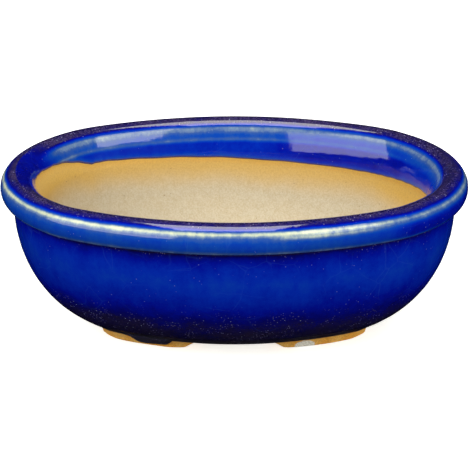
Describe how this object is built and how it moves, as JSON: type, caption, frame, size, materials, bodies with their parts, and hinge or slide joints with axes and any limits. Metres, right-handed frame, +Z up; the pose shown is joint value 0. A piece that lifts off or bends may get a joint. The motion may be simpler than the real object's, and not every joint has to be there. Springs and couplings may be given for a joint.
{
  "type": "bonsai pot",
  "caption": "Small oval bonsai pot with a rolled lip, rounded sides, arc-shaped feet and drain holes, blue glaze outside and over the lip, bare clay inside and underneath.",
  "frame": {"origin": "on the table, under the middle of the pot", "axes": "+X along the pot's length to the viewer's right, +Y across it to the back, +Z up"},
  "size_m": [0.1248, 0.0898, 0.0449],
  "materials": {
    "bare_clay": "matte, fine-grained, unglazed",
    "foot_clay": "matte, unglazed, ochre from the firing",
    "blue_glaze": "gloss, cobalt blue, paler where it thins over edges"
  },
  "bodies": {
    "root": {"wall": "bare_clay", "floor": "bare_clay", "lip": "bare_clay", "foot_front_left": "foot_clay", "foot_front_right": "foot_clay", "foot_back_left": "foot_clay", "foot_back_right": "foot_clay", "glaze_coat": "blue_glaze"}
  },
  "joints": []
}
